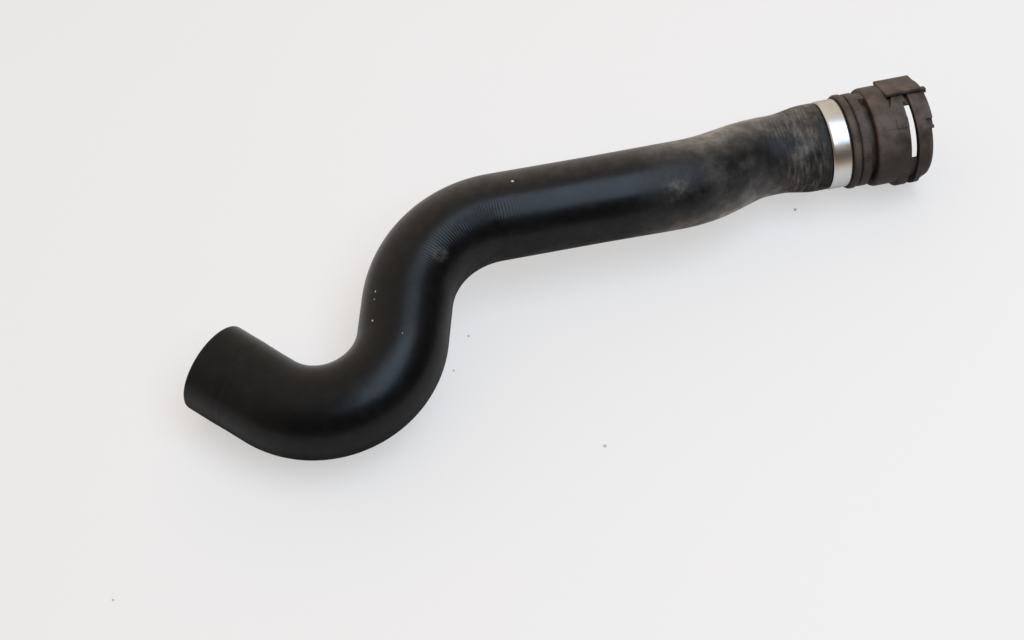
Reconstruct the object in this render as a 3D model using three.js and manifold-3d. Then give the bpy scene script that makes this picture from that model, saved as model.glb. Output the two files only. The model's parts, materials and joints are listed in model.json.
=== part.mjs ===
// A moulded coolant hose with a quick connector crimped to one end, lying on a bench.
//
// Millimetres, Z up. X runs along the connector, from the hose towards its open mouth. The rubber
// hose keeps the bends it was cured in. Its far end is a plain cuff, and this end grips the barbed
// stem of a plastic connector under a crimped metal ring. The connector's wire clip is missing, so
// the slots that it would lie in stand open.

import * as THREE from 'three';
import { mergeVertices } from 'three/addons/utils/BufferGeometryUtils.js';
import Module from 'manifold-3d';

const wasm = await Module();
wasm.setup();

// Clearance between pieces that touch on the real part
const seatGap = 0.3;

// Route of the hose: the corners of its centre line, with the radius of the bend at each
const mouthX = -150.2;
const mouthY = -7.8;
const mouthHeight = 22.9;
const uBendX = -80;
const uBendY = -84.6;
const uBendHeight = 24;
const uBendRadius = 40.8;
const elbowX = -40.1;
const elbowY = 38;
const elbowHeight = 38;
const elbowRadius = 54.9;
const upperJogX = 105.6;
const upperJogY = 37;
const upperJogHeight = 36;
const upperJogRadius = 54.9;
const lowerJogX = 138.2;
const lowerJogRadius = 36.5;

// Hose: outside radii in order from the plain mouth to the ring, and the wall of the rubber
const hoseWall = 4.5;
const cuffRadius = 22.9;
const cuffLength = 16;
const cuffStep = 5;
const legRadius = 22.7;
const uBendGirth = 22.6;
const riserGirth = 22.3;
const elbowGirth = 22.1;
const runGirth = 22;
const jogGirth = 22.3;
const waistGirth = 20.4;
const grippedGirth = 22.6;
const waistFromEnd = 35;
const gripSwell = 18;
const mouthChamfer = 0.6;
const hoseSides = 32;
const bendRingSpacing = 7;
const legRingSpacing = 12;

// Crimped ring
const ringOuterRadius = 23;
const ringThickness = 1;
const ringWidth = 10.3;
const ringEdge = 0.2;
const ringShoulder = 0.7;

// Connector: where its flange stands, the height of its axis follows from the lips it rests on
const connectorX = 186.1;
const connectorY = 50.5;
const housingLean = 28.5;
const connectorSides = 56;

// Barbed stem, inside the hose
const stemBore = 15.8;
const stemRadius = 17;
const barbRadius = 17.75;
const barbCount = 3;
const barbPitch = 6.4;
const barbRamp = 5;
const stemLength = 22;
const stemLead = 1.2;

// Flange, fine groove, neck and relief groove, from the hose outwards
const flangeRadius = 24.6;
const flangeWidth = 3.8;
const flangeEdge = 1;
const fineGrooveWidth = 0.8;
const fineGrooveRadius = 22.8;
const neckRadius = 24.2;
const neckWidth = 4.6;
const neckEdge = 0.6;
const reliefWidth = 3.5;
const reliefRadius = 20.6;
const reliefHalfBridge = 9;

// Barrel, clip slot, collar and rim
const barrelRadius = 25.7;
const barrelLength = 17.2;
const barrelEdge = 0.9;
const slotWidth = 4;
const collarRadius = 25.3;
const collarLength = 8.6;
const rimRadius = 22.9;
const noseLength = 2.4;

// Lips on both sides of the slot, which keep the clip's ends in place
const lipRadius = 27.6;
const lipLength = 4.2;
const lipRamp = 1.2;
const collarLipLength = 2.6;
const lipStart = 122;
const lipCutShift = 6;
const rootDepth = 0.8;

// Windows and grooves of the clip slot, as angles from the middle of the clip housing
const windowStart = 31;
const windowEnd = 105;
const grooveStart = 10;
const grooveDepth = 2.6;
const grooveInset = 1.6;
const grooveOverlap = 2;
const lipGrooveDepth = 3.4;

// Pads and notches beside the windows
const padStart = 50;
const padEnd = 62;
const padLength = 6.2;
const padHeight = 0.5;
const collarStepAngle = 64;
const collarStepHeight = 0.6;
const collarStepInset = 1.4;
const notchStart = 56;
const notchEnd = 64;
const notchLength = 3;
const notchDepth = 1.8;

// Clip housing: a flat roof on a narrower block
const roofHeight = 26.2;
const roofThickness = 1.8;
const roofWidth = 18.8;
const roofLength = 19;
const roofFromRim = 0.9;
const blockWidth = 11;
const gussetThickness = 1;
const gussetFoot = 0.8;
const pocketLength = 4.2;
const pocketStart = 13;
const pocketEnd = 35;
const pocketDepth = 2.2;
const pocketSteps = 4;

// Guard: the collar's edge nearest the housing has no rounding, and an ear under the roof stands out
const guardReach = 0.6;
const guardAngle = 68;
const earReach = 2;
const earWidth = 3.4;
const earFromMiddle = 7;
const earDrop = 1;

// Socket and its seal
const socketRadius = 22;
const socketLead = 0.5;
const socketFloorWall = 2;
const floorChamfer = 1.2;
const sealCord = 3.2;
const sealGrooveRadius = 24.3;
const sealFromSlot = 9.8;
const sealSides = 40;
const sealCordSides = 8;

// Stations along the connector's axis, from the flange's hose side
const fineGrooveAt = flangeWidth;
const neckAt = fineGrooveAt + fineGrooveWidth;
const reliefAt = neckAt + neckWidth;
const barrelAt = reliefAt + reliefWidth;
const slotAt = barrelAt + barrelLength;
const collarAt = slotAt + slotWidth;
const rimAt = collarAt + collarLength;
const socketFloorAt = barrelAt + socketFloorWall;
const sealGrooveEnd = slotAt - sealFromSlot;
const sealGrooveAt = sealGrooveEnd - sealCord - 2 * seatGap;

// The hose's bore is the stem's size where it is gripped, and the connector rests on its lips
const grippedBore = barbRadius + seatGap;
const ringSeatRadius = ringOuterRadius - ringThickness - seatGap;
const connectorHeight = lipRadius;
const rootRadius = barrelRadius - rootDepth;
const hoseEndX = connectorX - seatGap;

const black = 0x17171a;
const hoseMaterial = new THREE.MeshStandardMaterial({ color: black, roughness: 0.48, metalness: 0 });
const ringMaterial = new THREE.MeshStandardMaterial({ color: 0xd4d1cc, roughness: 0.22, metalness: 1 });
const connectorMaterial = new THREE.MeshStandardMaterial({ color: 0x2b2725, roughness: 0.5, metalness: 0 });
const sealMaterial = new THREE.MeshStandardMaterial({ color: 0x101011, roughness: 0.6, metalness: 0 });

// Solids and booleans

function toSolid(geometry) {
  const plain = geometry.index ? geometry.toNonIndexed() : geometry.clone();
  plain.deleteAttribute('normal');
  plain.deleteAttribute('uv');
  const merged = mergeVertices(plain, 1e-4);
  return new wasm.Manifold(new wasm.Mesh({
    numProp: 3,
    vertProperties: new Float32Array(merged.attributes.position.array),
    triVerts: new Uint32Array(merged.index.array),
  }));
}

function toGeometry(solid) {
  const mesh = solid.getMesh();
  const geometry = new THREE.BufferGeometry();
  geometry.setAttribute('position', new THREE.BufferAttribute(mesh.vertProperties.slice(), 3));
  geometry.setIndex(new THREE.BufferAttribute(mesh.triVerts.slice(), 1));
  geometry.computeVertexNormals();
  return geometry;
}

// A ring turned about X. The outline is a list of [along, radius], out along the outside and back.
function turned(outline, sides = connectorSides) {
  const points = outline.map(([along, radius]) => new THREE.Vector2(radius, along));
  points.push(points[0].clone());
  return new THREE.LatheGeometry(points, sides).rotateZ(-Math.PI / 2);
}

// A slice of cake about X, between two angles from the housing's middle and two places along X
function wedge(fromAngle, toAngle, fromX, toX) {
  const reach = 2 * lipRadius;
  const steps = Math.ceil((toAngle - fromAngle) / 30);
  const shape = new THREE.Shape();
  shape.moveTo(0, 0);
  for (let i = 0; i <= steps; i++) {
    const angle = THREE.MathUtils.degToRad(fromAngle + (toAngle - fromAngle) * i / steps);
    shape.lineTo(-reach * Math.sin(angle), reach * Math.cos(angle));
  }
  shape.closePath();
  const slice = new THREE.ExtrudeGeometry(shape, { depth: toX - fromX, bevelEnabled: false });
  slice.rotateX(Math.PI / 2).rotateZ(Math.PI / 2);
  slice.translate(fromX, 0, 0);
  return toSolid(slice);
}

// A rectangular block between two places along X, across Y and up Z
function block(fromX, toX, width, fromZ, toZ) {
  const box = new THREE.BoxGeometry(toX - fromX, width, toZ - fromZ);
  box.translate((fromX + toX) / 2, 0, (fromZ + toZ) / 2);
  return toSolid(box);
}

// The part of a turned ring that lies between two angles, on both sides of the housing
function bothSides(ring, fromAngle, toAngle, fromX, toX) {
  const near = ring.intersect(wedge(fromAngle, toAngle, fromX, toX));
  const far = ring.intersect(wedge(-toAngle, -fromAngle, fromX, toX));
  return near.add(far);
}

// Plain ring of rectangular section
function band(fromX, toX, innerRadius, outerRadius) {
  return toSolid(turned([[fromX, outerRadius], [toX, outerRadius], [toX, innerRadius], [fromX, innerRadius]]));
}

// Route of straight legs and round bends. at() gives the place and the facing at any length along it.
class Route {
  constructor(corners) {
    this.stretches = [];
    this.length = 0;
    this.bends = [];
    let from = corners[0].point;
    const facing = new THREE.Quaternion();
    facing.setFromUnitVectors(new THREE.Vector3(0, 1, 0), direction(from, corners[1].point));
    for (let i = 1; i < corners.length; i++) {
      const { point, radius } = corners[i];
      const heading = direction(from, point);
      const next = corners[i + 1];
      const turn = next ? heading.angleTo(direction(point, next.point)) : 0;
      const setBack = next ? radius * Math.tan(turn / 2) : 0;
      const legEnd = point.clone().addScaledVector(heading, -setBack);
      this.add({ from, heading, facing: facing.clone(), length: from.distanceTo(legEnd) });
      if (!next) break;
      const axis = heading.clone().cross(direction(point, next.point)).normalize();
      const centre = legEnd.clone().addScaledVector(axis.clone().cross(heading), radius);
      const start = this.length;
      const length = radius * turn;
      this.bends.push({ start, middle: start + length / 2, end: start + length });
      this.add({ from: legEnd, facing: facing.clone(), length, axis, centre, radius });
      facing.premultiply(new THREE.Quaternion().setFromAxisAngle(axis, turn));
      from = point.clone().addScaledVector(direction(point, next.point), setBack);
    }
  }

  add(stretch) {
    this.stretches.push({ ...stretch, start: this.length });
    this.length += stretch.length;
  }

  at(along) {
    const stretch = this.stretches.findLast((one) => along >= one.start) ?? this.stretches[0];
    const past = along - stretch.start;
    if (!stretch.axis) {
      return { place: stretch.from.clone().addScaledVector(stretch.heading, past), facing: stretch.facing };
    }
    const swing = new THREE.Quaternion().setFromAxisAngle(stretch.axis, past / stretch.radius);
    const place = stretch.from.clone().sub(stretch.centre).applyQuaternion(swing).add(stretch.centre);
    return { place, facing: stretch.facing.clone().premultiply(swing) };
  }
}

function direction(from, to) {
  return to.clone().sub(from).normalize();
}

// A size that eases from one station to the next. Stations are [along, size].
function eased(stations, along) {
  const last = stations.length - 1;
  if (along <= stations[0][0]) return stations[0][1];
  if (along >= stations[last][0]) return stations[last][1];
  const i = stations.findIndex(([place]) => place > along) - 1;
  const [fromPlace, fromSize] = stations[i];
  const [toPlace, toSize] = stations[i + 1];
  return THREE.MathUtils.lerp(fromSize, toSize, THREE.MathUtils.smoothstep(along, fromPlace, toPlace));
}

// Hose

function hoseRoute() {
  const corner = (x, y, z, radius) => ({ point: new THREE.Vector3(x, y, z), radius });
  return new Route([
    corner(mouthX, mouthY, mouthHeight),
    corner(uBendX, uBendY, uBendHeight, uBendRadius),
    corner(elbowX, elbowY, elbowHeight, elbowRadius),
    corner(upperJogX, upperJogY, upperJogHeight, upperJogRadius),
    corner(lowerJogX, connectorY, connectorHeight, lowerJogRadius),
    corner(hoseEndX, connectorY, connectorHeight),
  ]);
}

// Outside and bore radii as stations along the route
function hoseSections(route) {
  const [uBend, elbow, upperJog] = route.bends;
  const end = route.length;
  const seatAt = end - ringWidth - seatGap;
  const outside = [
    [cuffLength, cuffRadius],
    [cuffLength + cuffStep, legRadius],
    [uBend.start, legRadius],
    [uBend.middle, uBendGirth],
    [(uBend.end + elbow.start) / 2, riserGirth],
    [elbow.middle, elbowGirth],
    [(elbow.end + upperJog.start) / 2, runGirth],
    [upperJog.start, jogGirth],
    [end - waistFromEnd, waistGirth],
    [end - waistFromEnd + gripSwell, grippedGirth],
    [seatAt - ringShoulder, grippedGirth],
    [seatAt, ringSeatRadius],
  ];
  const stemTip = end + seatGap - stemLength;
  const bore = outside.slice(0, -3).map(([along, radius]) => [along, radius - hoseWall]);
  bore.push([stemTip - stemLead, grippedBore]);
  return { outside, bore };
}

// Places along the route where the hose's surface has a ring of points
function hoseRings(route, outside) {
  const places = outside.map(([along]) => along);
  for (const stretch of route.stretches) {
    const spacing = stretch.axis ? bendRingSpacing : legRingSpacing;
    const count = Math.ceil(stretch.length / spacing);
    for (let i = 0; i < count; i++) places.push(stretch.start + stretch.length * i / count);
  }
  const tidy = places.filter((along) => along > 2 * mouthChamfer).sort((a, b) => a - b);
  const apart = ringShoulder / 2;
  return tidy.filter((along, i) => i === 0 || along - tidy[i - 1] > apart);
}

function makeHose() {
  const route = hoseRoute();
  const { outside, bore } = hoseSections(route);
  const rings = hoseRings(route, outside);
  const end = route.length;
  const outline = [
    [0, cuffRadius - mouthChamfer],
    [mouthChamfer, cuffRadius],
    ...rings.map((along) => [along, eased(outside, along)]),
    [end, ringSeatRadius],
    [end, grippedBore],
    ...rings.toReversed().map((along) => [along, eased(bore, along)]),
    [mouthChamfer, cuffRadius - hoseWall],
    [0, cuffRadius - hoseWall + mouthChamfer],
  ];
  const points = outline.map(([along, radius]) => new THREE.Vector2(radius, along));
  points.push(points[0].clone());
  const geometry = new THREE.LatheGeometry(points, hoseSides);
  bendAlong(geometry, route);
  return geometry;
}

// Lay a shape that stands along Y on the route, ring by ring
function bendAlong(geometry, route) {
  const position = geometry.attributes.position;
  const point = new THREE.Vector3();
  for (let i = 0; i < position.count; i++) {
    point.fromBufferAttribute(position, i);
    const { place, facing } = route.at(point.y);
    point.setY(0).applyQuaternion(facing).add(place);
    position.setXYZ(i, point.x, point.y, point.z);
  }
  geometry.computeVertexNormals();
}

// Crimped ring, along X from its hose side

function makeRing() {
  const inner = ringOuterRadius - ringThickness;
  return turned([
    [0, ringOuterRadius - ringEdge],
    [ringEdge, ringOuterRadius],
    [ringWidth - ringEdge, ringOuterRadius],
    [ringWidth, ringOuterRadius - ringEdge],
    [ringWidth, inner + ringEdge],
    [ringWidth - ringEdge, inner],
    [ringEdge, inner],
    [0, inner + ringEdge],
  ]);
}

// Connector

// Outside of the barbed stem, from its tip to the flange
function stemOutline() {
  const outline = [[-stemLength, stemRadius - stemLead / 2]];
  for (let i = 0; i < barbCount; i++) {
    const crest = -stemLength + stemLead + barbRamp + i * barbPitch;
    outline.push([crest - barbRamp, stemRadius], [crest, barbRadius], [crest + stemLead / 4, stemRadius]);
  }
  outline.push([0, stemRadius]);
  return outline;
}

function connectorOutline() {
  return [
    ...stemOutline(),
    [0, flangeRadius - flangeEdge],
    [flangeEdge, flangeRadius],
    [flangeWidth - flangeEdge, flangeRadius],
    [fineGrooveAt, flangeRadius - flangeEdge],
    [fineGrooveAt, fineGrooveRadius],
    [neckAt, fineGrooveRadius],
    [neckAt, neckRadius - neckEdge],
    [neckAt + neckEdge, neckRadius],
    [reliefAt, neckRadius],
    [barrelAt, neckRadius],
    [barrelAt, barrelRadius - barrelEdge],
    [barrelAt + barrelEdge, barrelRadius],
    [collarAt, barrelRadius],
    [collarAt, collarRadius],
    [rimAt - noseLength, collarRadius],
    [rimAt - noseLength / 2, (collarRadius * 3 + rimRadius) / 4],
    [rimAt, rimRadius],
    [rimAt, socketRadius + socketLead],
    [rimAt - socketLead, socketRadius],
    [sealGrooveEnd, socketRadius],
    [sealGrooveEnd, sealGrooveRadius],
    [sealGrooveAt, sealGrooveRadius],
    [sealGrooveAt, socketRadius],
    [socketFloorAt + floorChamfer, socketRadius],
    [socketFloorAt, socketRadius - floorChamfer],
    [socketFloorAt, stemBore],
    [-stemLength, stemBore],
  ];
}

// Lips that stand proud of the barrel and the collar on the side away from the housing. A cylinder
// set lower than the barrel trims them, so that their ends run out flush with the barrel.
function lips() {
  const lip = toSolid(turned([
    [slotAt - lipLength - lipRamp, rootRadius],
    [slotAt - lipLength - lipRamp, barrelRadius],
    [slotAt - lipLength, lipRadius],
    [collarAt + collarLipLength, lipRadius],
    [collarAt + collarLipLength + lipRamp, collarRadius],
    [collarAt + collarLipLength + lipRamp, rootRadius],
  ]));
  const ends = THREE.MathUtils.degToRad(180 - lipStart);
  const endHeight = barrelRadius * Math.cos(ends) - lipCutShift;
  const trimRadius = Math.hypot(barrelRadius * Math.sin(ends), endHeight);
  const trim = wasm.Manifold.cylinder(rimAt, trimRadius, trimRadius, connectorSides);
  const lower = wedge(lipStart, 360 - lipStart, 0, rimAt);
  return lip.intersect(trim.rotate(0, 90, 0).translate(0, 0, -lipCutShift)).intersect(lower);
}

// Low steps beside the windows: a pad on the barrel, and the thicker lower part of the collar
function pads() {
  const pad = band(slotAt - padLength, slotAt, rootRadius, barrelRadius + padHeight);
  const stepEnd = rimAt - noseLength - collarStepInset;
  const step = band(collarAt, stepEnd, rootRadius, collarRadius + collarStepHeight);
  const lower = step.intersect(wedge(collarStepAngle, 360 - collarStepAngle, 0, rimAt));
  return bothSides(pad, padStart, padEnd, 0, rimAt).add(lower);
}

// Housing of the clip: a flat roof that overhangs the block it stands on, with a gusset at each side
function housing() {
  const core = sealGrooveRadius + socketLead / 2;
  const roofEnd = rimAt - roofFromRim;
  const roofAt = roofEnd - roofLength;
  const underside = roofHeight - roofThickness;
  const roof = block(roofAt, roofEnd, roofWidth, underside, roofHeight);
  const carrier = block(roofAt + roofThickness, roofEnd - noseLength, blockWidth, core, roofHeight);
  const gussetAt = roofAt + pocketLength + seatGap;
  const gussetWidth = roofWidth - 2 * gussetThickness;
  const gusset = block(gussetAt, gussetAt + gussetThickness, gussetWidth, socketRadius + gussetFoot, underside);
  const earTop = roofHeight - earDrop;
  const ear = block(rimAt - noseLength, rimAt + earReach, earWidth, socketRadius + gussetFoot, earTop);
  const sideEar = ear.translate(0, -earFromMiddle, 0);
  return roof.add(carrier).add(gusset).add(sideEar).add(guard());
}

// Full edge of the collar on the housing's side
function guard() {
  const edge = band(rimAt - noseLength, rimAt + guardReach, socketRadius + 2 * socketLead, collarRadius);
  return edge.intersect(wedge(-guardAngle, guardAngle, 0, rimAt + earReach));
}

// Part of the space round the connector: a ring from a radius outwards, between two places along X
function around(fromX, toX, innerRadius) {
  return band(fromX, toX, innerRadius, lipRadius + roofHeight);
}

// Shallow recesses under the edges of the roof, cut before the roof goes on
function recesses() {
  const from = slotAt + grooveInset;
  const groove = around(from, collarAt, barrelRadius - grooveDepth);
  return bothSides(groove, grooveStart, windowStart + grooveOverlap, from, collarAt).add(pockets());
}

// A three-cornered pocket in the barrel under each edge of the roof
function pockets() {
  const pocketAt = rimAt - roofFromRim - roofLength;
  const ring = around(pocketAt, pocketAt + pocketLength, barrelRadius - pocketDepth);
  const slices = [];
  for (let i = 0; i < pocketSteps; i++) {
    const to = THREE.MathUtils.lerp(pocketStart, pocketEnd, (i + 1) / pocketSteps);
    const length = pocketLength * (1 - i / pocketSteps);
    slices.push(bothSides(ring, pocketStart, to, pocketAt, pocketAt + length));
  }
  return slices.reduce((all, slice) => all.add(slice));
}

// The slot: windows right through the wall on both sides, joined by a groove behind the lips
function slot() {
  const through = around(slotAt, collarAt, socketRadius - slotWidth);
  const windows = bothSides(through, windowStart, windowEnd, slotAt, collarAt);
  const behindLips = around(slotAt, collarAt, lipRadius - lipGrooveDepth);
  return windows.add(behindLips.intersect(wedge(windowEnd, 360 - windowEnd, slotAt, collarAt)));
}

// The relief groove round the neck, with a bridge left under the housing and one opposite
function relief() {
  const groove = around(reliefAt, barrelAt, reliefRadius);
  return bothSides(groove, reliefHalfBridge, 180 - reliefHalfBridge, reliefAt, barrelAt);
}

// A notch in the rim on each side
function notches() {
  const from = rimAt - notchLength;
  const to = rimAt + guardReach + seatGap;
  return bothSides(around(from, to, collarRadius - notchDepth), notchStart, notchEnd, from, to);
}

function makeConnector() {
  const turnedBody = toSolid(turned(connectorOutline()));
  const withSteps = turnedBody.add(lips()).add(pads()).subtract(recesses());
  const whole = withSteps.add(housing());
  return toGeometry(whole.subtract(slot()).subtract(relief()).subtract(notches()));
}

// Seal ring in its groove, along X from the flange's hose side

function makeSeal() {
  const cordRadius = sealCord / 2;
  const centreAt = (sealGrooveAt + sealGrooveEnd) / 2;
  const centreRadius = sealGrooveRadius - seatGap - cordRadius;
  const outline = [];
  for (let i = 0; i < sealCordSides; i++) {
    const angle = -2 * Math.PI * i / sealCordSides;
    outline.push([centreAt + cordRadius * Math.cos(angle), centreRadius + cordRadius * Math.sin(angle)]);
  }
  return turned(outline, sealSides);
}

// Assembly

function piece(name, geometry, material, parent) {
  const mesh = new THREE.Mesh(geometry, material);
  mesh.name = name;
  parent.add(mesh);
  return mesh;
}

const assembly = new THREE.Group();
piece('hose', makeHose(), hoseMaterial, assembly);

const fitting = new THREE.Group();
fitting.position.set(connectorX, connectorY, connectorHeight);
fitting.rotation.x = -THREE.MathUtils.degToRad(housingLean);
assembly.add(fitting);
piece('crimp_ring', makeRing(), ringMaterial, fitting).position.x = -ringWidth - seatGap;
piece('connector_body', makeConnector(), connectorMaterial, fitting);
piece('socket_seal', makeSeal(), sealMaterial, fitting);

// The origin is the middle of the part's footprint, on the bench
assembly.updateMatrixWorld(true);
const extent = new THREE.Box3().setFromObject(assembly, true);
const middle = extent.getCenter(new THREE.Vector3());
assembly.position.set(-middle.x, -middle.y, -extent.min.z);

const coolantHose = new THREE.Group();
coolantHose.add(assembly);

export default coolantHose;
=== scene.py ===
# %% [markdown]
# # A coolant hose with a quick connector
#
# The real object is a hose from a car's cooling circuit: a thick rubber moulding with two big
# bends, a plain cuff at one end and a plastic quick connector at the other, held by a crimped
# metal ring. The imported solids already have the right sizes. This lesson builds a finer version of
# each piece in the same place, gives it a procedural finish, and sets up the camera and the light.

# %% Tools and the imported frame
import json
import math

import bmesh
import bpy
from mathutils import Matrix, Quaternion, Vector

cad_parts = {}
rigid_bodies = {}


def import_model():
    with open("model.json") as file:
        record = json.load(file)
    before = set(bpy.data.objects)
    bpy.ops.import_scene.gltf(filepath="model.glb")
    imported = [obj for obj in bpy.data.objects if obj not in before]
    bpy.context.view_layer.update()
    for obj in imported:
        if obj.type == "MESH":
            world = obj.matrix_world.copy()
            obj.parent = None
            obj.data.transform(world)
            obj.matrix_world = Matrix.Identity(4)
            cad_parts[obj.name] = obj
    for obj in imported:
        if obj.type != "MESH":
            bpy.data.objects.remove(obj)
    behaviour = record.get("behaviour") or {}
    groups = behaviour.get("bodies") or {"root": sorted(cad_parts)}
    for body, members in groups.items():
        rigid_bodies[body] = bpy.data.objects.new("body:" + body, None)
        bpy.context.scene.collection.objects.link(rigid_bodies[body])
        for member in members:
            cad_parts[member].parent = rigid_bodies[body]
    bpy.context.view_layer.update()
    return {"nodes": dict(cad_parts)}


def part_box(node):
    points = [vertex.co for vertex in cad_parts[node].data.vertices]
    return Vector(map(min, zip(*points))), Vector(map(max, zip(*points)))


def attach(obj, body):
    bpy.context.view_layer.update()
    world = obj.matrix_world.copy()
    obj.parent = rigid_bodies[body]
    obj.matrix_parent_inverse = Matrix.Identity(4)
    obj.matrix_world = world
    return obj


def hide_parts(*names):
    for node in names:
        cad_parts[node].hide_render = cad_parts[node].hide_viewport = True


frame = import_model()
MM = 0.001
print("packed pieces:", sorted(frame["nodes"]))

# %% [markdown]
# ## Where the connector is
#
# All places are counted from one point: the middle of the connector's flange, on the side of the
# hose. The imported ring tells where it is, because the ring is round about the same axis and ends a
# seat gap short of the flange.

# %% Middle of the flange
SEAT_GAP = 0.3
ring_low, ring_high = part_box("crimp_ring")
flange = (Vector(ring_low) + Vector(ring_high)) / 2 / MM
flange.x = ring_high[0] / MM + SEAT_GAP
print("middle of the flange in mm:", [round(v, 2) for v in flange])

# %% [markdown]
# ## The camera
#
# The photo was taken from above, with a longish lens. Perspective is set by where the camera
# stands, and the lens only crops the view. The camera could be turned by hand until it looks right,
# but here its place and direction were fitted to the outline: about one metre away, 57 degrees above
# the bench, a little to the left of straight ahead.

# %% Camera
LOOK_AT = Vector((flange.x - 186.1, flange.y - 50.5, 0)) * MM
LOOKING = Vector((0.1253, 0.5300, -0.8387)).normalized()
CAMERA_DISTANCE = 1.0101
SENSOR_WIDTH = 36
FOCAL_LENGTH = 70.3

camera_data = bpy.data.cameras.new("camera")
camera_data.sensor_width = SENSOR_WIDTH
camera_data.lens = FOCAL_LENGTH
camera = bpy.data.objects.new("camera", camera_data)
camera.location = LOOK_AT - LOOKING * CAMERA_DISTANCE
camera.rotation_euler = LOOKING.to_track_quat("-Z", "Y").to_euler()
bpy.context.scene.collection.objects.link(camera)
bpy.context.scene.camera = camera
print("camera stands at", [round(v, 3) for v in camera.location])


# %% [markdown]
# ## Turning a mesh into a piece
#
# Every piece is built as a bmesh, which is Blender's mesh for editing. Once it is done it becomes an
# object, with smooth faces and with its hard edges marked sharp by their angle. The mesh could be
# made of many more faces instead, but marked edges give clean light on curves and crisp corners.

# %% From a bmesh to an object
SHARP_ANGLE = 34


def to_object(name, bm, sharp_angle=SHARP_ANGLE):
    mesh = bpy.data.meshes.new(name)
    bm.to_mesh(mesh)
    bm.free()
    mesh.shade_smooth()
    mesh.set_sharp_from_angle(angle=math.radians(sharp_angle))
    piece = bpy.data.objects.new(name, mesh)
    bpy.context.scene.collection.objects.link(piece)
    return piece


def stand_for(piece, node):
    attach(piece, "root")
    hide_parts(node)
    print(piece.name, "stands for", node, "with", len(piece.data.polygons), "faces")


# %% [markdown]
# ## The route of the hose
#
# The hose was cured on a bent steel core, so its centre line is made of straight legs and round
# bends. A smooth curve through a few points would round the legs too, so the line is walked instead:
# on a leg a ring of rubber only moves on, and in a bend it also turns. Each stop on the way is a
# matrix that says where the ring stands there and which way it faces.

# %% Corners and bends
# Each corner is counted from the middle of the flange, but its height from the bench. The second
# value is the radius of the bend there.
CORNERS = [
    ((-336.3, -58.3, 22.9), 0),
    ((-266.1, -135.1, 24.0), 40.8),
    ((-226.2, -12.5, 38.0), 54.9),
    ((-80.5, -13.5, 36.0), 54.9),
    ((-47.9, 0.0, flange.z), 36.5),
    ((-SEAT_GAP, 0.0, flange.z), 0),
]


def lay_route(corners):
    """Straight and bent stretches, each with its start, heading, length and turn."""
    points = [Vector((flange.x + x, flange.y + y, z)) for (x, y, z), _ in corners]
    stretches = []
    start = points[0]
    facing = (points[1] - points[0]).to_track_quat("Z", "Y")
    for i in range(1, len(points)):
        heading = (points[i] - points[i - 1]).normalized()
        last = i == len(points) - 1
        after = heading if last else (points[i + 1] - points[i]).normalized()
        turn = heading.angle(after)
        radius = corners[i][1]
        leg_end = points[i] - heading * radius * math.tan(turn / 2)
        leg = {"from": start, "facing": facing, "length": (leg_end - start).length, "axis": None}
        stretches.append(leg)
        if last:
            break
        axis = heading.cross(after).normalized()
        centre = leg_end + axis.cross(heading) * radius
        bend = {"from": leg_end, "facing": facing, "length": radius * turn, "axis": axis}
        bend.update(centre=centre, radius=radius)
        stretches.append(bend)
        facing = Quaternion(axis, turn) @ facing
        start = points[i] + after * radius * math.tan(turn / 2)
    return stretches


ROUTE = lay_route(CORNERS)
STARTS = [sum(stretch["length"] for stretch in ROUTE[:i]) for i in range(len(ROUTE))]
HOSE_LENGTH = STARTS[-1] + ROUTE[-1]["length"]
print("centre line of the hose:", round(HOSE_LENGTH), "mm")


def ring_place(along):
    """Matrix of a ring of the hose at a length along the route, in millimetres."""
    i = max(k for k, start in enumerate(STARTS) if start <= along or k == 0)
    stretch = ROUTE[i]
    past = along - STARTS[i]
    if stretch["axis"] is None:
        point = stretch["from"] + stretch["facing"] @ Vector((0, 0, past))
        return Matrix.Translation(point) @ stretch["facing"].to_matrix().to_4x4()
    swing = Quaternion(stretch["axis"], past / stretch["radius"])
    point = stretch["centre"] + swing @ (stretch["from"] - stretch["centre"])
    return Matrix.Translation(point) @ (swing @ stretch["facing"]).to_matrix().to_4x4()


# %% [markdown]
# ## Widths along the hose
#
# The moulding isn't the same width all along. The plain cuff is a touch wider, the straight run is
# narrower, and before the crimped ring there is a waist. Loop cuts could be scaled one by one, but
# a list of stations is easier to fit to a photo: each is a length along the hose and a radius, and
# between two of them the radius eases from one to the next.

# %% Stations
BENDS = [(start, start + leg["length"]) for start, leg in zip(STARTS, ROUTE) if leg["axis"]]
WALL = 4.5
GRIPPED_BORE = 18.05
GRIPPED_OUTSIDE = 21.7
RING_WIDTH = 10.3
RING_SEAT = HOSE_LENGTH - RING_WIDTH - SEAT_GAP
SEAT_STEP = 0.7
CUFF_BEAD_AT = 21
OUTSIDE = [
    (16, 22.9),
    (CUFF_BEAD_AT, 22.7),
    (BENDS[0][0], 22.7),
    (sum(BENDS[0]) / 2, 22.6),
    ((BENDS[0][1] + BENDS[1][0]) / 2, 22.3),
    (sum(BENDS[1]) / 2, 22.1),
    ((BENDS[1][1] + BENDS[2][0]) / 2, 22.0),
    (BENDS[2][0], 22.3),
    (HOSE_LENGTH - 35, 20.4),
    (HOSE_LENGTH - 17, 22.6),
    (RING_SEAT - SEAT_STEP, 22.6),
    (RING_SEAT, GRIPPED_OUTSIDE),
    (HOSE_LENGTH, GRIPPED_OUTSIDE),
]
BORE = [(along, radius - WALL) for along, radius in OUTSIDE[:9]] + [(HOSE_LENGTH - 23, GRIPPED_BORE)]
print("bends of the hose, from and to:", [(round(start), round(end)) for start, end in BENDS])


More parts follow.
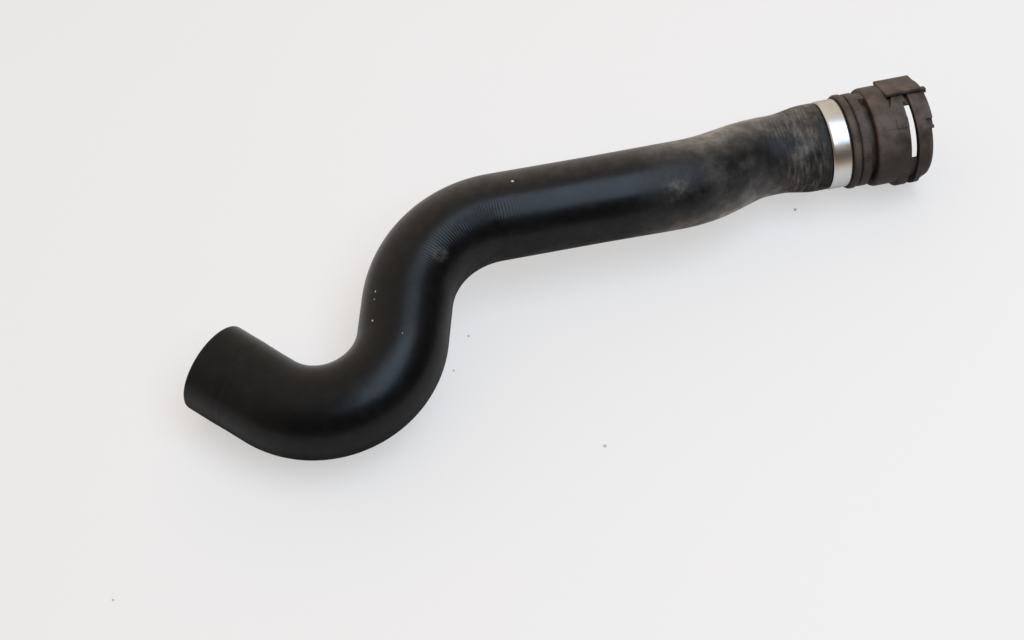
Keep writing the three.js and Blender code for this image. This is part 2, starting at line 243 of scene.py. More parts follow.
def eased(stations, along):
    if along <= stations[0][0]:
        return stations[0][1]
    for (a, low), (b, high) in zip(stations, stations[1:]):
        if along <= b:
            t = (along - a) / (b - a)
            return low + (high - low) * t * t * (3 - 2 * t)
    return stations[-1][1]


# %% [markdown]
# ## Sweeping the hose
#
# A bevelled curve could stand for the hose, but it would have no wall and no bore. A sweep is an
# extrusion that is repeated: the last ring is extruded, and the new ring is moved to its own place
# and scaled to its own width. The outside goes from the cuff to the connector, then the bore comes
# back, and a bridge closes the plain mouth. Two numbers are painted on the rings as they are made,
# the length along the hose and the place around it, and they become the UV map.

# %% Sweep helper
def swept_tube(stops, sides):
    """stops is a list of (along, radius) in millimetres, out along the outside and back inside."""
    bm = bmesh.new()
    along_of = bm.verts.layers.float.new("along")
    around_of = bm.verts.layers.float.new("around")
    first = bmesh.ops.create_circle(bm, segments=sides, radius=1, cap_ends=False)["verts"]
    for vert in first:
        vert[around_of] = (math.atan2(vert.co.y, vert.co.x) / (2 * math.pi)) % 1
    ring = first
    place = Matrix.Identity(4)
    rings = []
    for number, (along, radius) in enumerate(stops):
        if number:
            around = {edge for vert in ring for edge in vert.link_edges}
            edges = [edge for edge in around if all(vert in ring_set for vert in edge.verts)]
            grown = bmesh.ops.extrude_edge_only(bm, edges=edges)["geom"]
            ring = [item for item in grown if isinstance(item, bmesh.types.BMVert)]
        ring_set = set(ring)
        target = ring_place(along) @ Matrix.Diagonal((radius, radius, 1, 1))
        bmesh.ops.transform(bm, matrix=target @ place.inverted(), verts=ring)
        place = target
        for vert in ring:
            vert[along_of] = along
        rings.append(ring)
    return bm, rings, along_of, around_of


def close_ends(bm, rings):
    ends = [rings[0], rings[-1]]
    edges = []
    for ring in ends:
        members = set(ring)
        edges += [e for e in bm.edges if e.is_boundary and all(v in members for v in e.verts)]
    bmesh.ops.bridge_loops(bm, edges=edges)
    bmesh.ops.recalc_face_normals(bm, faces=bm.faces)


# %% UV map from the painted numbers
UNROLLED_MAP = "along_and_around"
GIRTH = 0.14


def unroll(bm, along_of, around_of):
    uv = bm.loops.layers.uv.new(UNROLLED_MAP)
    for face in bm.faces:
        arounds = [loop.vert[around_of] for loop in face.loops]
        wraps = max(arounds) - min(arounds) > 0.5
        for loop, around in zip(face.loops, arounds):
            if wraps and around < 0.5:
                around += 1
            loop[uv].uv = (loop.vert[along_of] * MM, around * GIRTH)


# %% Stops along the hose
MOUTH_ROUNDING = [(0.0, -0.75), (0.1, -0.4), (0.35, -0.12), (0.8, 0.0)]
PAST_ROUNDING = 1.2
CUFF_BEAD_HEIGHT = 0.08
OUTER_STEP = 1.6
BORE_STEP = 5


def cuff_bead(along):
    """The faint raised line, about two millimetres wide, that the mould left where the cuff ends."""
    return CUFF_BEAD_HEIGHT * math.exp(-(along - CUFF_BEAD_AT) ** 2)


def hose_stops():
    outside = [(along, eased(OUTSIDE, along) + change) for along, change in MOUTH_ROUNDING]
    count = round(HOSE_LENGTH / OUTER_STEP)
    extra = [RING_SEAT - SEAT_STEP, RING_SEAT - SEAT_STEP / 2, RING_SEAT]
    extra += [CUFF_BEAD_AT + step * 0.4 for step in range(-4, 5)]
    steps = sorted([i * HOSE_LENGTH / count for i in range(1, count)] + extra)
    steps = [along for along in steps if along > PAST_ROUNDING]
    outside += [(along, eased(OUTSIDE, along) + cuff_bead(along)) for along in steps]
    outside.append((HOSE_LENGTH, GRIPPED_OUTSIDE))
    bore_count = round(HOSE_LENGTH / BORE_STEP)
    back = [i * HOSE_LENGTH / bore_count for i in range(bore_count, 0, -1)]
    inside = [(along, eased(BORE, along)) for along in back]
    inside += [(along, eased(BORE, along) - change) for along, change in reversed(MOUTH_ROUNDING)]
    return outside + inside


HOSE_STOPS = hose_stops()
print("stops along the hose:", len(HOSE_STOPS))

# %% The hose moulding
HOSE_SIDES = 96
hose_bm, hose_rings, along_layer, around_layer = swept_tube(HOSE_STOPS, HOSE_SIDES)
close_ends(hose_bm, hose_rings)
unroll(hose_bm, along_layer, around_layer)
bmesh.ops.scale(hose_bm, vec=(MM, MM, MM), verts=hose_bm.verts)
hose = to_object("hose_moulding", hose_bm, sharp_angle=50)
stand_for(hose, "hose")

# %% [markdown]
# ## Turned pieces
#
# The ring, the seal and most of the connector are turned shapes, the same all round an axis. They
# could be stacked from cylinders, but then every step between two widths would be a join. So each
# starts as a flat outline of (along, radius) and is spun about X. The sharp corners are bevelled
# after the spin, because a moulded or rolled edge is never quite sharp and catches the light.

# %% Spin and bevel helpers
HOUSING_LEAN = -28.5
FITTING = Matrix.Translation(flange) @ Matrix.Rotation(math.radians(HOUSING_LEAN), 4, "X")
MERGE_DISTANCE = 1e-5
ORIGIN = (0, 0, 0)
X_AXIS = (1, 0, 0)


def spun(outline, from_angle=0, to_angle=360, steps=144):
    """A turned solid, or a slice of one between two angles from the middle of the clip housing."""
    bm = bmesh.new()
    verts = [bm.verts.new((along, 0, radius)) for along, radius in outline]
    whole = to_angle - from_angle >= 360
    if whole:
        start = [bm.edges.new((a, b)) for a, b in zip(verts, verts[1:] + verts[:1])]
    else:
        face = bm.faces.new(verts)
        start = [face] + list(face.edges)
    first_turn = Matrix.Rotation(math.radians(from_angle), 3, "X")
    bmesh.ops.rotate(bm, verts=bm.verts, cent=ORIGIN, matrix=first_turn)
    turn = math.radians(to_angle - from_angle)
    geometry = verts + start
    bmesh.ops.spin(bm, geom=geometry, cent=ORIGIN, axis=X_AXIS, angle=turn, steps=steps, use_merge=whole)
    bmesh.ops.remove_doubles(bm, verts=bm.verts, dist=MERGE_DISTANCE)
    bmesh.ops.recalc_face_normals(bm, faces=bm.faces)
    return bm


def round_edges(bm, width, least_radius=0, angle=25):
    """Bevel the hard edges whose middle is at least so far from the axis."""
    hard = []
    for edge in bm.edges:
        middle = (edge.verts[0].co + edge.verts[1].co) / 2
        if edge.is_manifold and edge.calc_face_angle() > math.radians(angle):
            if least_radius <= math.hypot(middle.y, middle.z):
                hard.append(edge)
    bevel = {"segments": 3, "profile": 0.5, "affect": "EDGES", "material": -1, "clamp_overlap": True}
    bmesh.ops.bevel(bm, geom=hard, offset=width, **bevel)


def place_on_fitting(bm, along=0):
    move = Matrix.Scale(MM, 4) @ FITTING @ Matrix.Translation((along, 0, 0))
    bmesh.ops.transform(bm, matrix=move, verts=bm.verts)


# %% [markdown]
# ## The crimped ring
#
# A strip of aluminium is rolled into a ring and squeezed on to the hose, which pushes the rubber
# into the barbs. Its middle is flat and its two edges are rolled in a little. A cylinder with a
# Solidify modifier would do for a plain band, but an outline that is spun gives the rolled edges
# and the thickness at once.

# %% Crimped ring
RING_OUTSIDE, RING_EDGE, RING_INSIDE = 23.0, 22.6, 22.0
ROLLED_EDGE = 0.9
ring_bm = spun([
    (0, RING_EDGE),
    (ROLLED_EDGE, RING_OUTSIDE),
    (RING_WIDTH - ROLLED_EDGE, RING_OUTSIDE),
    (RING_WIDTH, RING_EDGE),
    (RING_WIDTH, RING_INSIDE),
    (0, RING_INSIDE),
], steps=160)
round_edges(ring_bm, 0.18, angle=15)
place_on_fitting(ring_bm, along=-RING_WIDTH - SEAT_GAP)
ring = to_object("crimp_band", ring_bm)
stand_for(ring, "crimp_ring")

# %% [markdown]
# ## The seal ring
#
# A rubber cord ring sits in a groove of the socket. Blender has a ready torus in its editor, but not
# among the bmesh operators, so a small circle is spun about the axis of the connector.

# %% Seal ring
SEAL_AT = 18.2
SEAL_RADIUS = 22.4
SEAL_CORD = 1.6
seal_bm = bmesh.new()
cord = bmesh.ops.create_circle(seal_bm, segments=20, radius=SEAL_CORD)["verts"]
bmesh.ops.rotate(seal_bm, verts=cord, cent=ORIGIN, matrix=Matrix.Rotation(math.pi / 2, 3, "X"))
bmesh.ops.translate(seal_bm, verts=cord, vec=(SEAL_AT, 0, SEAL_RADIUS))
cord_geometry = cord + list(seal_bm.edges)
whole_turn = {"axis": X_AXIS, "angle": 2 * math.pi, "steps": 120, "use_merge": True}
bmesh.ops.spin(seal_bm, geom=cord_geometry, cent=ORIGIN, **whole_turn)
bmesh.ops.remove_doubles(seal_bm, verts=seal_bm.verts, dist=MERGE_DISTANCE)
bmesh.ops.recalc_face_normals(seal_bm, faces=seal_bm.faces)
place_on_fitting(seal_bm)
seal = to_object("seal_ring", seal_bm)
stand_for(seal, "socket_seal")

# %% [markdown]
# ## The connector: its turned body
#
# The connector is one plastic moulding. Most of it could be joined from rings, but one outline keeps
# its wall closed: it goes over the barbs, the flange, the neck and the barrel to the rim, and comes
# back through the socket and the stem's bore. The barrel's shoulder is rounded more than the other
# edges, as on the real one, so it has points of its own.

# %% Stations along the connector
GROOVE_AT, NECK_AT, RELIEF_AT, BARREL_AT = 3.8, 4.6, 9.2, 12.7
SLOT_AT, COLLAR_AT, RIM_AT = 29.9, 33.9, 42.5
STEM_END, SOCKET_FLOOR = -22, 14.7
STEM, STEM_BORE, BARB = 17.0, 15.8, 17.75
FLANGE, NECK, BARREL, COLLAR, SOCKET = 24.6, 24.2, 25.7, 25.3, 22.0
SEAL_GROOVE = (16.3, 20.1, 24.3)
print("connector from", STEM_END, "to", RIM_AT, "mm, socket", RIM_AT - SOCKET_FLOOR, "mm deep")

# %% Outline of the turned body
outline = [(STEM_END, 16.4)]
for crest in (-15.8, -9.4, -3.0):
    outline += [(crest - 5, STEM), (crest, BARB), (crest + 0.3, STEM)]
outline += [(0, STEM), (0, 24.0), (0.9, FLANGE), (2.9, FLANGE), (GROOVE_AT, 24.0)]
outline += [(GROOVE_AT, 22.8), (NECK_AT, 22.8), (NECK_AT, 23.5), (5.3, 24.1), (6.5, NECK)]
outline += [(RELIEF_AT, NECK), (BARREL_AT, NECK), (12.85, 24.8), (13.3, 25.3), (14.1, 25.62)]
outline += [(15.1, BARREL), (COLLAR_AT, BARREL), (COLLAR_AT, COLLAR), (RIM_AT - 2.4, COLLAR)]
outline += [(RIM_AT - 1.2, 24.7), (RIM_AT - 0.3, 23.6), (RIM_AT, 22.9), (RIM_AT, 22.5)]
groove_from, groove_to, groove_floor = SEAL_GROOVE
outline += [(RIM_AT - 0.5, SOCKET), (groove_to, SOCKET), (groove_to, groove_floor)]
outline += [(groove_from, groove_floor), (groove_from, SOCKET), (15.9, SOCKET)]
outline += [(SOCKET_FLOOR, 20.8), (SOCKET_FLOOR, STEM_BORE), (STEM_END, STEM_BORE)]
body_bm = spun(outline)
round_edges(body_bm, 0.22, least_radius=22.7)
body = to_object("connector_moulding", body_bm)
print("turned body:", len(body.data.vertices), "corners")


# %% [markdown]
# ## Adding and cutting with booleans
#
# Slots, pockets and lips don't go all the way round. They could be cut into the turned mesh by hand,
# but that is slow and hard to change later. So they are made as slices and joined to the body or cut
# out of it with a Boolean modifier, which is applied at once. Angles are counted from the middle of
# the clip housing.

# %% Boolean helpers
def blend_with(base, bm, operation):
    tool = to_object("tool", bm)
    modifier = base.modifiers.new("shape", "BOOLEAN")
    modifier.object = tool
    modifier.operation = operation
    modifier.solver = "MANIFOLD"
    depsgraph = bpy.context.evaluated_depsgraph_get()
    shaped = bpy.data.meshes.new_from_object(base.evaluated_get(depsgraph))
    base.modifiers.clear()
    spent = base.data
    base.data = shaped
    bpy.data.meshes.remove(spent)
    bpy.data.objects.remove(tool)


def slice_of(from_x, to_x, inner, outer, from_angle, to_angle, steps=24):
    """A bent bar between two places along the axis, two radii and two angles."""
    section = [(from_x, inner), (to_x, inner), (to_x, outer), (from_x, outer)]
    return spun(section, from_angle, to_angle, steps)


def slab(from_x, to_x, width, from_z, to_z, rounding=0.0):
    """A flat bar across the connector, in the middle of the clip housing."""
    bm = bmesh.new()
    bmesh.ops.create_cube(bm, size=1)
    bmesh.ops.scale(bm, vec=(to_x - from_x, width, to_z - from_z), verts=bm.verts)
    bmesh.ops.translate(bm, vec=((from_x + to_x) / 2, 0, (from_z + to_z) / 2), verts=bm.verts)
    if rounding:
        round_edges(bm, rounding)
    return bm


BOTH_SIDES = (1, -1)


def on_both_sides(base, operation, from_x, to_x, inner, outer, from_angle, to_angle, steps=24):
    for side in BOTH_SIDES:
        low, high = sorted((side * from_angle, side * to_angle))
        blend_with(base, slice_of(from_x, to_x, inner, outer, low, high, steps), operation)


def corners_now():
    print("connector has", len(body.data.vertices), "corners now")


# %% [markdown]
# ## Recesses under the roof
#
# On the real connector a wire clip is pushed in under a small roof. Room for it is cut first, while
# the barrel is still plain: on each side a notch in line with the slot, and a pocket that gets
# shorter as it goes round. A wedge would be hard to turn about the axis, so the pocket starts as a
# slice and the corners at its end are moved.

# %% Recesses
ROOF_END = RIM_AT - 0.9
ROOF_AT = ROOF_END - 19
POCKET_LENGTH = 4.2
POCKET_FROM, POCKET_TO = 12.5, 35
OUT_OF_THE_WAY = 40
on_both_sides(body, "DIFFERENCE", SLOT_AT + 1.6, COLLAR_AT, 23.1, OUT_OF_THE_WAY, 10, 33)
for side in BOTH_SIDES:
    low, high = sorted((side * POCKET_FROM, side * POCKET_TO))
    pocket_bm = slice_of(ROOF_AT, ROOF_AT + POCKET_LENGTH, 23.5, OUT_OF_THE_WAY, low, high, 16)
    for vert in pocket_bm.verts:
        angle = math.degrees(abs(math.atan2(vert.co.y, vert.co.z)))
        if vert.co.x > ROOF_AT + 1:
            vert.co.x -= (POCKET_LENGTH - 0.3) * (angle - POCKET_FROM) / (POCKET_TO - POCKET_FROM)
    blend_with(body, pocket_bm, "DIFFERENCE")
corners_now()

# %% [markdown]
# ## Lips, pads and the clip housing
#
# Opposite the clip housing, a lip stands proud of the barrel on each side of the slot and runs out
# flush at its ends. A tapered slice would end in a step, so the fade is a cylinder, set lower than
# the barrel, past which no point of the lip may reach. Added pieces start a little inside the
# barrel's wall, so that the Boolean modifier has something to join.

# %% Lips
IN_THE_WALL = 24.9
LIP_TOP = 27.6
LIP_SHIFT = 6
LIP_END = math.radians(58)
LIP_TRIM = math.hypot(BARREL * math.sin(LIP_END), BARREL * math.cos(LIP_END) - LIP_SHIFT)
lip_bm = spun([
    (SLOT_AT - 5.4, IN_THE_WALL),
    (SLOT_AT - 5.4, BARREL),
    (SLOT_AT - 4.2, LIP_TOP),
    (COLLAR_AT + 2.6, LIP_TOP),
    (COLLAR_AT + 4.4, COLLAR),
    (COLLAR_AT + 4.4, IN_THE_WALL),
], 121.5, 238.5, 60)
for vert in lip_bm.verts:
    reach = math.hypot(vert.co.y, vert.co.z + LIP_SHIFT)
    if reach > LIP_TRIM and math.hypot(vert.co.y, vert.co.z) > IN_THE_WALL + 0.1:
        squeeze = LIP_TRIM / reach
        vert.co.y *= squeeze
        vert.co.z = (vert.co.z + LIP_SHIFT) * squeeze - LIP_SHIFT
blend_with(body, lip_bm, "UNION")
corners_now()

# %% Pads beside the windows
PAD_TOP = BARREL + 0.5
BAND_TOP = BARREL + 0.2
on_both_sides(body, "UNION", SLOT_AT - 6.2, SLOT_AT + 0.2, IN_THE_WALL, PAD_TOP, 50, 62, 12)
band_bm = slice_of(COLLAR_AT - 0.2, RIM_AT - 3.8, IN_THE_WALL, BAND_TOP, 64, 296, 90)
blend_with(body, band_bm, "UNION")
corners_now()

# %% Roof of the clip housing
ROOF_TOP = 26.2
ROOF_WIDTH = 18.8
blend_with(body, slab(ROOF_AT, ROOF_END, ROOF_WIDTH, ROOF_TOP - 1.8, ROOF_TOP, 0.35), "UNION")
blend_with(body, slab(ROOF_AT + 1.8, RIM_AT - 3.3, 11, 24.55, ROOF_TOP - 0.3), "UNION")
gusset_at = ROOF_AT + POCKET_LENGTH + 0.3
gusset_bm = slab(gusset_at, gusset_at + 1, ROOF_WIDTH - 2, 22.8, ROOF_TOP - 1.0)
corners_now()

# %% Guard and ear at the rim
GUARD_INSIDE = 23.0
GUARD_REACH = 0.6
GUARD_ANGLE = 68
EAR_FROM_MIDDLE = 7
guard_bm = spun([
    (RIM_AT - 2.4, GUARD_INSIDE),
    (RIM_AT + GUARD_REACH, GUARD_INSIDE),
    (RIM_AT + GUARD_REACH, COLLAR - 0.4),
    (RIM_AT + GUARD_REACH - 0.4, COLLAR),
    (RIM_AT - 2.4, COLLAR),
], -GUARD_ANGLE, GUARD_ANGLE, 56)
blend_with(body, guard_bm, "UNION")
ear_bm = slab(RIM_AT - 2.4, RIM_AT + 2, 3.4, 22.8, 25.2, 0.3)
bmesh.ops.translate(ear_bm, vec=(0, -EAR_FROM_MIDDLE, 0), verts=ear_bm.verts)
blend_with(body, ear_bm, "UNION")
blend_with(body, gusset_bm, "UNION")
corners_now()

# %% [markdown]
# ## Slot and grooves
#
# The slot is cut last, so that it goes through the pads and the lips as well. Beside the housing it is
# open into the socket, and on the side opposite it is only a groove. Between the neck and the barrel
# runs a relief groove, with a bridge left under the housing and one opposite. Single faces could be
# pushed in instead, but one slice for each keeps the walls square.

# %% Slot, relief groove and notches
BEYOND = 54
SLOT_FROM, SLOT_TO = 31, 105
on_both_sides(body, "DIFFERENCE", SLOT_AT, COLLAR_AT, 18.0, BEYOND, SLOT_FROM, SLOT_TO, 40)
slot_floor_bm = slice_of(SLOT_AT, COLLAR_AT, 24.2, BEYOND, SLOT_TO - 0.5, 360 - SLOT_TO + 0.5, 80)
blend_with(body, slot_floor_bm, "DIFFERENCE")
on_both_sides(body, "DIFFERENCE", RELIEF_AT, BARREL_AT, 20.6, BEYOND, 9, 171, 80)
on_both_sides(body, "DIFFERENCE", RIM_AT - 3, RIM_AT + 1, 23.5, BEYOND, 56, 64, 6)
corners_now()

# %% Place the connector
connector_bm = bmesh.new()
connector_bm.from_mesh(body.data)
bmesh.ops.remove_doubles(connector_bm, verts=connector_bm.verts, dist=1e-4)
open_edges = sum(not edge.is_manifold for edge in connector_bm.edges)
print("connector: edges that aren't closed:", open_edges)
place_on_fitting(connector_bm)
connector_bm.to_mesh(body.data)
connector_bm.free()
body.data.shade_smooth()
body.data.set_sharp_from_angle(angle=math.radians(SHARP_ANGLE))
stand_for(body, "connector_body")

# %% [markdown]
# ## Finishes
#
# Each finish is a Principled shader fed by noise. A painted picture would do too, but noise has no
# seams and needs no file. It is read from Object coordinates, so it stays in place when the part is
# moved, or from the hose's own UV map where a pattern follows the rubber round its bends.

# %% Node helpers
def new_material(name):
    material = bpy.data.materials.new(name)
    material.use_nodes = True
    nodes = material.node_tree.nodes
    return material, nodes, material.node_tree.links, nodes["Principled BSDF"]


def noise(nodes, links, source, scale, detail=4.0, roughness=0.5, stretch=(1, 1, 1)):
    mapping = nodes.new("ShaderNodeMapping")
    mapping.inputs["Scale"].default_value = stretch
    texture = nodes.new("ShaderNodeTexNoise")
    texture.inputs["Scale"].default_value = scale
    texture.inputs["Detail"].default_value = detail
    texture.inputs["Roughness"].default_value = roughness
    links.new(source, mapping.inputs["Vector"])
    links.new(mapping.outputs["Vector"], texture.inputs["Vector"])
    return texture.outputs["Fac"]


def remap(nodes, links, value, from_min, from_max, to_min=0.0, to_max=1.0):
    node = nodes.new("ShaderNodeMapRange")
    node.interpolation_type = "SMOOTHSTEP"
    limits = {"From Min": from_min, "From Max": from_max, "To Min": to_min, "To Max": to_max}
    for key, number in limits.items():
        node.inputs[key].default_value = number
    links.new(value, node.inputs["Value"])
    return node.outputs["Result"]


def math_node(nodes, links, operation, first, second):
    node = nodes.new("ShaderNodeMath")
    node.operation = operation
    for socket, value in zip(node.inputs, (first, second)):
        if isinstance(value, (int, float)):
            socket.default_value = value
        else:
            links.new(value, socket)
    return node.outputs["Value"]


def product(nodes, links, *amounts):
    whole = amounts[0]
    for amount in amounts[1:]:
        whole = math_node(nodes, links, "MULTIPLY", whole, amount)
    return whole


def total(nodes, links, *amounts):
    whole = amounts[0]
    for amount in amounts[1:]:
        whole = math_node(nodes, links, "ADD", whole, amount)
    return whole


def mix_colour(nodes, links, amount, first, second):
    node = nodes.new("ShaderNodeMix")
    node.data_type = "RGBA"
    links.new(amount, node.inputs["Factor"])
    for socket, value in ((node.inputs[6], first), (node.inputs[7], second)):
        if isinstance(value, tuple):
            socket.default_value = (*value, 1)
        else:
            links.new(value, socket)
    return node.outputs[2]


def bump(nodes, links, height, strength, distance, below=None):
    node = nodes.new("ShaderNodeBump")
    node.inputs["Strength"].default_value = strength
    node.inputs["Distance"].default_value = distance
    links.new(height, node.inputs["Height"])
    if below is not None:
        links.new(below, node.inputs["Normal"])
    return node.outputs["Normal"]


# %% [markdown]
# ## Rubber of the hose
#
# Cured rubber is near black and reflects a window as a bluish band. On the inner side of the elbow it
# has fine ripples across the hose. Near the connector it is covered with pale dust, streaked round the
# neck. On the far upper side and the near lower side the pale colour is thicker, partly as dust and
# partly as painted sheen, the brighter look of dusty rubber seen at a slant. The dust could be a second
# layer of paint, but one shader with masks is easier to fit: the length along the hose, from the UV map,
# tells where each mark is, and an attribute tells which way the surface faces.

# %% Layers that tell which way a piece faces
def paint_facing(piece):
    bm = bmesh.new()
    bm.from_mesh(piece.data)
    faces_up = bm.verts.layers.float.new("faces_up")
    faces_far = bm.verts.layers.float.new("faces_far")
    for vert in bm.verts:
        vert[faces_up] = vert.normal.z
        vert[faces_far] = vert.normal.y
    bm.to_mesh(piece.data)
    bm.free()
    print("facing layers painted on", len(piece.data.vertices), "corners of", piece.name)


paint_facing(hose)
paint_facing(body)
paint_facing(ring)


# %% Hose rubber: where things are
def attribute(nodes, name):
    node = nodes.new("ShaderNodeAttribute")
    node.attribute_name = name
    return node.outputs["Fac"]


def stretch_mask(nodes, links, along, start, full, fade, end):
    """1 between full and fade along the hose, easing to 0 at start and end, all in mm."""
    rise = remap(nodes, links, along, start * MM, full * MM)
    fall = remap(nodes, links, along, fade * MM, end * MM, 1, 0)
    return product(nodes, links, rise, fall)


rubber, nodes, links, shader = new_material("cured_rubber")
place = nodes.new("ShaderNodeTexCoord").outputs["Object"]
unrolled = nodes.new("ShaderNodeUVMap")
unrolled.uv_map = UNROLLED_MAP
unrolled = unrolled.outputs["UV"]
split = nodes.new("ShaderNodeSeparateXYZ")
links.new(unrolled, split.inputs["Vector"])
along = split.outputs["X"]
up = attribute(nodes, "faces_up")
far = attribute(nodes, "faces_far")

fine = noise(nodes, links, place, 1300, 3)
cloud = noise(nodes, links, place, 42, 5, 0.62)
mottle = noise(nodes, links, place, 150, 5, 0.65)
print("rubber reads the map", UNROLLED_MAP, "and the layers faces_up and faces_far")

# %% Hose rubber: zones of dust and painted sheen
# Each zone is given by four places, counted back from the connector's flange in millimetres: where
# it starts, where it is full, where it begins to fade and where it ends.
ZONES = {
    "neck": (132, 62, 14, 8),
    "jog": (130, 78, 46, 24),
    "wrinkled": (56, 36, 18, 10),
    "clean": (70, 58, 38, 26),
}


def zone_mask(nodes, links, along, name):
    return stretch_mask(nodes, links, along, *(HOSE_LENGTH - back for back in ZONES[name]))


neck = zone_mask(nodes, links, along, "neck")
jog = zone_mask(nodes, links, along, "jog")
wrinkle_zone = zone_mask(nodes, links, along, "wrinkled")
run = stretch_mask(nodes, links, along, *BENDS[1], HOSE_LENGTH - 14, HOSE_LENGTH - 8)
facing_far = remap(nodes, links, far, -0.3, 0.8)
facing_up = remap(nodes, links, up, -0.3, 0.5)
on_top = product(nodes, links, facing_far, facing_up)
turned_down = remap(nodes, links, up, 0.4, -0.1)
turned_near = remap(nodes, links, far, 0.1, -0.5)
below = product(nodes, links, turned_down, turned_near)
print("zones of dust:", sorted(ZONES))

# %% Hose rubber: dust and painted sheen
patchy = remap(nodes, links, cloud, 0.40, 0.62)
speckled = remap(nodes, links, mottle, 0.38, 0.66)
wrinkles = noise(nodes, links, unrolled, 620, 4, 0.6, (1, 0.16, 1))
wrinkles = remap(nodes, links, wrinkles, 0.45, 0.68)
wiped = zone_mask(nodes, links, along, "clean")
wiped = product(nodes, links, wiped, remap(nodes, links, far, -0.05, -0.3), 0.7)
clean = math_node(nodes, links, "SUBTRACT", 1.0, wiped)

# Painted sheen: the pale colour on the far upper side and the near lower side is partly dust and partly
# the brighter look of dusty rubber seen at a slant.
run_dust_and_sheen = product(nodes, links, on_top, run, 0.15)
jog_dust_and_sheen = product(nodes, links, on_top, jog, 0.46)
lower_dust_and_sheen = product(nodes, links, below, jog, 0.3)
dust_and_painted_sheen = total(nodes, links, run_dust_and_sheen, jog_dust_and_sheen, lower_dust_and_sheen)
neck_dust = product(nodes, links, patchy, neck, 0.2)
wrinkle_dust = product(nodes, links, wrinkles, wrinkle_zone, 0.34)
middle = product(nodes, links, total(nodes, links, neck_dust, wrinkle_dust), clean)
broken = total(nodes, links, product(nodes, links, speckled, 0.45), 0.55)
# This mask carries the painted sheen of the far upper and near lower sides as well as the dust of the
# neck and its wrinkles.
dust = product(nodes, links, total(nodes, links, dust_and_painted_sheen, middle), broken)
film = remap(nodes, links, mottle, 0.45, 0.75, 0.0, 0.012)

BLACK_RUBBER = (0.0030, 0.0027, 0.0028)
PALE_DUST_AND_SHEEN = (0.37, 0.31, 0.25)
dust_and_sheen = total(nodes, links, dust, film)
colour = mix_colour(nodes, links, dust_and_sheen, BLACK_RUBBER, PALE_DUST_AND_SHEEN)
print("dust goes from", BLACK_RUBBER, "to", PALE_DUST_AND_SHEEN)

# %% Hose rubber: specks and smears
SPECKS = [((-175.9, -8.4, 59.1), 0.75), ((-253.6, -51.5, 50.4), 0.45), ((-254.9, -55.4, 49.9), 0.35)]
SPECKS += [((-258.1, -66.6, 49.0), 0.5), ((-245.9, -79.1, 53.1), 0.4)]


def distance_from(nodes, links, place, middle):
    """Distance in metres from a point given in millimetres, from the flange and from the bench."""
    x, y, z = middle
    node = nodes.new("ShaderNodeVectorMath")
    node.operation = "DISTANCE"
    node.inputs[1].default_value = Vector((flange.x + x, flange.y + y, z)) * MM
    links.new(place, node.inputs[0])
    return node.outputs["Value"]


def specks_mask(nodes, links, place, specks):
    """1 within each small ball, given by its middle and its radius in millimetres."""
    mask = 0.0
    for middle, radius in specks:
        away = distance_from(nodes, links, place, middle)
        near = math_node(nodes, links, "LESS_THAN", away, radius * MM)
        mask = math_node(nodes, links, "MAXIMUM", mask, near)
    return mask


SMEARS = [((-96.6, -26.6, 54.1), 9, 0.3), ((-219.1, -39.1, 54.9), 6, 0.22)]
SMEARS += [((-26.2, -11.9, 46.3), 11, 0.3)]
SMEAR_COLOUR = (0.33, 0.29, 0.25)
WHITE_SPECK = (0.55, 0.55, 0.52)
for middle_of_smear, reach, strength in SMEARS:
    away = distance_from(nodes, links, place, middle_of_smear)
    smear = remap(nodes, links, away, reach * MM, 2 * MM, 0.0, strength)
    colour = mix_colour(nodes, links, product(nodes, links, smear, speckled), colour, SMEAR_COLOUR)
flecks = specks_mask(nodes, links, place, SPECKS)
links.new(mix_colour(nodes, links, flecks, colour, WHITE_SPECK), shader.inputs["Base Color"])
print("marks on the rubber:", len(SPECKS), "specks and", len(SMEARS), "smears")

# %% Hose rubber: sheen
# Dust, the handled neck and the underside are rougher than the clean rubber on top.
RUBBER_IOR = 1.25
gloss = remap(nodes, links, cloud, 0.3, 0.7, 0.27, 0.35)
under_dust = product(nodes, links, dust, 0.9)
handled = product(nodes, links, neck, 0.2)
underside = remap(nodes, links, up, 0.45, -0.3, 0.0, 0.3)
roughness = total(nodes, links, gloss, under_dust, handled, underside)
links.new(roughness, shader.inputs["Roughness"])
shader.inputs["IOR"].default_value = RUBBER_IOR
mirroring = remap(nodes, links, up, -0.3, 0.45, 0.15, 0.8)
links.new(mirroring, shader.inputs["Specular IOR Level"])
on_run = product(nodes, links, run, 0.2)
on_jog = product(nodes, links, jog, 0.6)
powder = product(nodes, links, total(nodes, links, on_run, on_jog), broken)
links.new(powder, shader.inputs["Sheen Weight"])
shader.inputs["Sheen Roughness"].default_value = 0.42
shader.inputs["Sheen Tint"].default_value = (1.0, 0.90, 0.80, 1)
print("rubber's index of refraction:", RUBBER_IOR)


# %% Hose rubber: ripples and grain
RIPPLE_PITCH = 1.65
RIPPLES_ALONG = (148, 162, 196, 226)


def waves_across(nodes, links, source, pitch, distortion, detail):
    """Bands across the hose, one every pitch millimetres."""
    node = nodes.new("ShaderNodeTexWave")
    node.bands_direction = "X"
    node.inputs["Scale"].default_value = 2 * math.pi / (20 * pitch * MM)
    node.inputs["Distortion"].default_value = distortion
    node.inputs["Detail"].default_value = detail
    links.new(source, node.inputs["Vector"])
    return node.outputs["Fac"]


